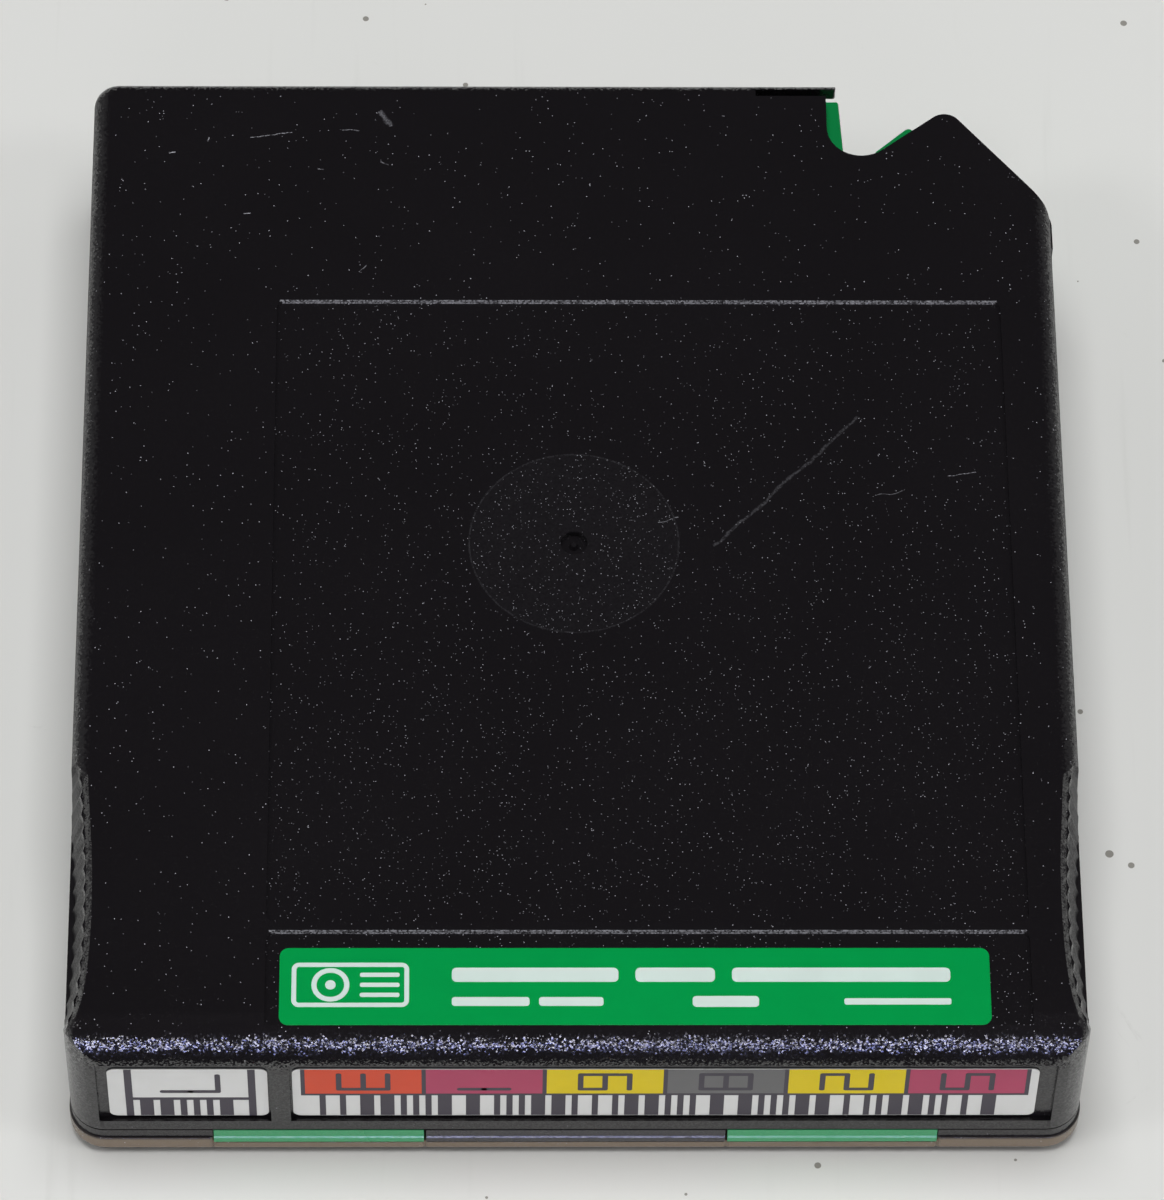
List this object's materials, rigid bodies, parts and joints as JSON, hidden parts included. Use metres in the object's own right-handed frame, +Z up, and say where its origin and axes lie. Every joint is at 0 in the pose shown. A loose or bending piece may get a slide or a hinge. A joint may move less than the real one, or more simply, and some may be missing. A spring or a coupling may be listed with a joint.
{
  "type": "data tape cartridge",
  "caption": "Flat black tape cartridge with one reel inside, a corner port holding a green leader block, grip hollows and a label edge.",
  "frame": {"origin": "on the ground under the middle of the case, on the axis of the reel", "axes": "+Z up along the reel's axis, +Y towards the edge with the leader block, +X to the right of the label edge"},
  "size_m": [0.109, 0.125, 0.0245],
  "materials": {
    "case_black": "fine moulded grain, satin black",
    "reel_plastic": "satin pale grey",
    "tape_film": "wound film edges",
    "brake_nylon": "natural nylon",
    "spring_steel": "drawn wire",
    "leader_green": "satin green",
    "selector_grey": "satin grey",
    "bar_green": "satin green",
    "label_green": "printed label",
    "label_white": "printed label",
    "screw_steel": "zinc plated"
  },
  "bodies": {
    "case": {"top_shell": "case_black", "base_shell": "case_black", "case_screws": "screw_steel", "ident_bar_left": "bar_green", "ident_bar_right": "bar_green", "top_label": "label_green", "front_label_small": "label_white", "volume_label": "label_white", "brake_spring": "spring_steel"},
    "reel": {"reel_hub": "reel_plastic", "reel_upper_flange": "reel_plastic", "tape_pack": "tape_film"},
    "brake": {"brake_button": "brake_nylon"},
    "leader": {"leader_block": "leader_green", "tape_clamp_pin": "brake_nylon", "tape_run": "tape_film"},
    "selector": {"file_protect_selector": "selector_grey"}
  },
  "joints": [
    {"name": "reel_spin", "type": "hinge", "parent": "case", "child": "reel", "pos_m": [0, 0, 0.01], "axis": [0, 0, 1], "continuous": true},
    {"name": "brake_lift", "type": "slide", "parent": "case", "child": "brake", "axis": [0, 0, 1], "range_m": [0, 0.002], "stiffness_N_per_m": 400, "springref_m": -0.003, "deforming": ["brake_spring"]},
    {"name": "leader_pull", "type": "slide", "parent": "case", "child": "leader", "axis": [0.7694, 0.6388, 0], "range_m": [0, 0.03], "deforming": ["tape_run"]},
    {"name": "selector_press", "type": "slide", "parent": "case", "child": "selector", "axis": [0, 1, 0], "range_m": [0, 0.0012]}
  ]
}
